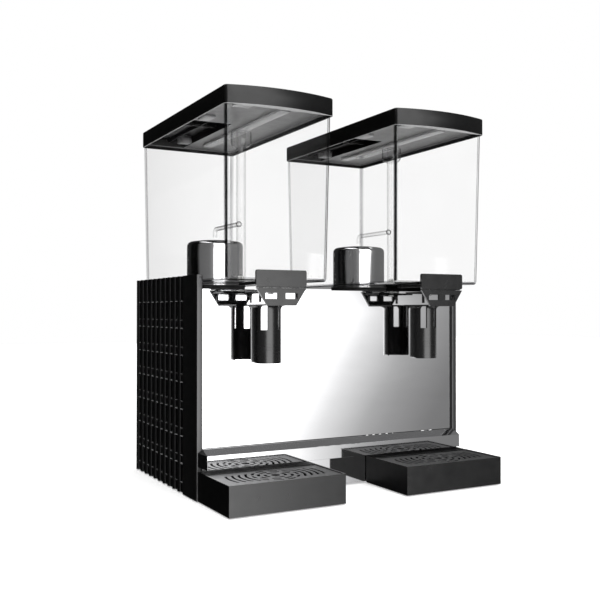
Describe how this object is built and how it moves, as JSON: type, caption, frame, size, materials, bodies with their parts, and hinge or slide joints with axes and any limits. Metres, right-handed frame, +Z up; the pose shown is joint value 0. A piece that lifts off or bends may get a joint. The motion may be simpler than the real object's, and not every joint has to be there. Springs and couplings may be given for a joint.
{
  "type": "fountain soda dispenser",
  "caption": "Countertop refrigerated drink dispenser: clear lidded tanks side by side over chilling domes, push-lever taps, polished front, ribbed sides and drip trays with grates.",
  "frame": {"origin": "on the surface it stands on, under the middle of its outer box", "axes": "+Z up, the front with the taps and drip trays towards -Y, +X to the right of a person facing the front"},
  "size_m": [0.5, 0.424, 0.6209],
  "materials": {
    "black_plastic": "fine satin moulded texture",
    "grey_plastic": "satin moulded, dark grey",
    "clear_plastic": "clear polished polycarbonate",
    "polished_steel": "mirror-polished stainless steel",
    "satin_steel": "satin stainless steel",
    "zinc_steel": "plain zinc-plated sheet",
    "black_enamel": "black enamel",
    "copper": "bare copper tube",
    "rubber": "matt black rubber",
    "white_plastic": "white acetal"
  },
  "bodies": {
    "casing": {"side_panel_left": "black_plastic", "side_panel_right": "black_plastic", "ledge_cap_left": "black_plastic", "ledge_cap_right": "black_plastic", "switch_panel": "black_plastic", "power_inlet": "black_plastic", "front_panel": "polished_steel", "lower_front_panel": "polished_steel", "drip_ledge": "polished_steel", "evaporator_dome_left": "polished_steel", "evaporator_dome_right": "polished_steel", "side_trim_left": "satin_steel", "side_trim_right": "satin_steel", "deck_plate": "satin_steel", "base_pan": "zinc_steel", "rear_panel": "zinc_steel", "fan_shroud": "zinc_steel", "fan_motor": "zinc_steel", "pump_motor_left": "zinc_steel", "pump_motor_right": "zinc_steel", "compressor": "black_enamel", "condenser": "black_enamel", "refrigerant_line_left": "copper", "refrigerant_line_right": "copper", "foot_front_left": "rubber", "foot_front_right": "rubber", "foot_rear_left": "rubber", "foot_rear_right": "rubber", "dome_collar_left": "rubber", "dome_collar_right": "rubber"},
    "condenser_fan": {"fan_blade": "black_plastic"},
    "tank_unit_left": {"tank_left": "clear_plastic", "riser_tube_left": "clear_plastic", "spray_elbow_left": "clear_plastic", "spreader_left": "clear_plastic", "valve_bracket_left": "black_plastic", "lever_pin_left": "satin_steel", "return_spring_left": "satin_steel"},
    "lid_unit_left": {"lid_left": "black_plastic"},
    "rotor_unit_left": {"pump_rotor_left": "white_plastic"},
    "lever_unit_left": {"push_lever_left": "black_plastic"},
    "plunger_unit_left": {"valve_plunger_left": "white_plastic"},
    "tray_unit_left": {"drip_tray_left": "black_plastic"},
    "grate_unit_left": {"drip_grate_left": "satin_steel"},
    "tank_unit_right": {"tank_right": "clear_plastic", "riser_tube_right": "clear_plastic", "spray_elbow_right": "clear_plastic", "spreader_right": "clear_plastic", "valve_bracket_right": "black_plastic", "lever_pin_right": "satin_steel", "return_spring_right": "satin_steel"},
    "lid_unit_right": {"lid_right": "black_plastic"},
    "rotor_unit_right": {"pump_rotor_right": "white_plastic"},
    "lever_unit_right": {"push_lever_right": "black_plastic"},
    "plunger_unit_right": {"valve_plunger_right": "white_plastic"},
    "tray_unit_right": {"drip_tray_right": "black_plastic"},
    "grate_unit_right": {"drip_grate_right": "satin_steel"},
    "power_switch_unit": {"power_switch": "grey_plastic"},
    "mixer_switch_unit": {"mixer_switch": "grey_plastic"},
    "thermostat_unit": {"thermostat_knob": "grey_plastic"}
  },
  "joints": [
    {"name": "fan_spin", "type": "hinge", "parent": "casing", "child": "condenser_fan", "pos_m": [-0.181, 0.062, 0.132], "axis": [1, 0, 0], "continuous": true},
    {"name": "tank_lift_left", "type": "slide", "parent": "casing", "child": "tank_unit_left", "axis": [0, 0, 1], "range_m": [0, 0.12]},
    {"name": "lid_lift_left", "type": "slide", "parent": "tank_unit_left", "child": "lid_unit_left", "axis": [0, 0, 1], "range_m": [0, 0.06]},
    {"name": "rotor_spin_left", "type": "hinge", "parent": "tank_unit_left", "child": "rotor_unit_left", "pos_m": [-0.1494, -0.034, 0.345], "axis": [0, 0, 1], "continuous": true},
    {"name": "lever_push_left", "type": "hinge", "parent": "tank_unit_left", "child": "lever_unit_left", "pos_m": [-0.1494, -0.172, 0.3235], "axis": [1, 0, 0], "range_deg": [0, 8], "stiffness_Nm_per_rad": 0.6},
    {"name": "plunger_lift_left", "type": "slide", "parent": "tank_unit_left", "child": "plunger_unit_left", "axis": [0, 0, 1], "range_m": [0, 0.0065]},
    {"name": "tray_slide_left", "type": "slide", "parent": "casing", "child": "tray_unit_left", "axis": [0, -1, 0], "range_m": [0, 0.13]},
    {"name": "grate_lift_left", "type": "slide", "parent": "tray_unit_left", "child": "grate_unit_left", "axis": [0, 0, 1], "range_m": [0, 0.04]},
    {"name": "tank_lift_right", "type": "slide", "parent": "casing", "child": "tank_unit_right", "axis": [0, 0, 1], "range_m": [0, 0.12]},
    {"name": "lid_lift_right", "type": "slide", "parent": "tank_unit_right", "child": "lid_unit_right", "axis": [0, 0, 1], "range_m": [0, 0.06]},
    {"name": "rotor_spin_right", "type": "hinge", "parent": "tank_unit_right", "child": "rotor_unit_right", "pos_m": [0.1494, -0.034, 0.345], "axis": [0, 0, 1], "continuous": true},
    {"name": "lever_push_right", "type": "hinge", "parent": "tank_unit_right", "child": "lever_unit_right", "pos_m": [0.1494, -0.172, 0.3235], "axis": [1, 0, 0], "range_deg": [0, 8], "stiffness_Nm_per_rad": 0.6},
    {"name": "plunger_lift_right", "type": "slide", "parent": "tank_unit_right", "child": "plunger_unit_right", "axis": [0, 0, 1], "range_m": [0, 0.0065]},
    {"name": "tray_slide_right", "type": "slide", "parent": "casing", "child": "tray_unit_right", "axis": [0, -1, 0], "range_m": [0, 0.13]},
    {"name": "grate_lift_right", "type": "slide", "parent": "tray_unit_right", "child": "grate_unit_right", "axis": [0, 0, 1], "range_m": [0, 0.04]},
    {"name": "power_rocker", "type": "hinge", "parent": "casing", "child": "power_switch_unit", "pos_m": [0.134, 0.2015, 0.263], "axis": [1, 0, 0], "range_deg": [0, 16]},
    {"name": "mixer_rocker", "type": "hinge", "parent": "casing", "child": "mixer_switch_unit", "pos_m": [0.16, 0.2015, 0.263], "axis": [1, 0, 0], "range_deg": [0, 16]},
    {"name": "thermostat_turn", "type": "hinge", "parent": "casing", "child": "thermostat_unit", "pos_m": [0.2, 0.2015, 0.263], "axis": [0, 1, 0], "range_deg": [0, 270]}
  ],
  "couplings": [
    {"joint": "plunger_lift_left", "follows": "lever_push_left", "m_per_rad": 0.0445},
    {"joint": "plunger_lift_right", "follows": "lever_push_right", "m_per_rad": 0.0445}
  ]
}
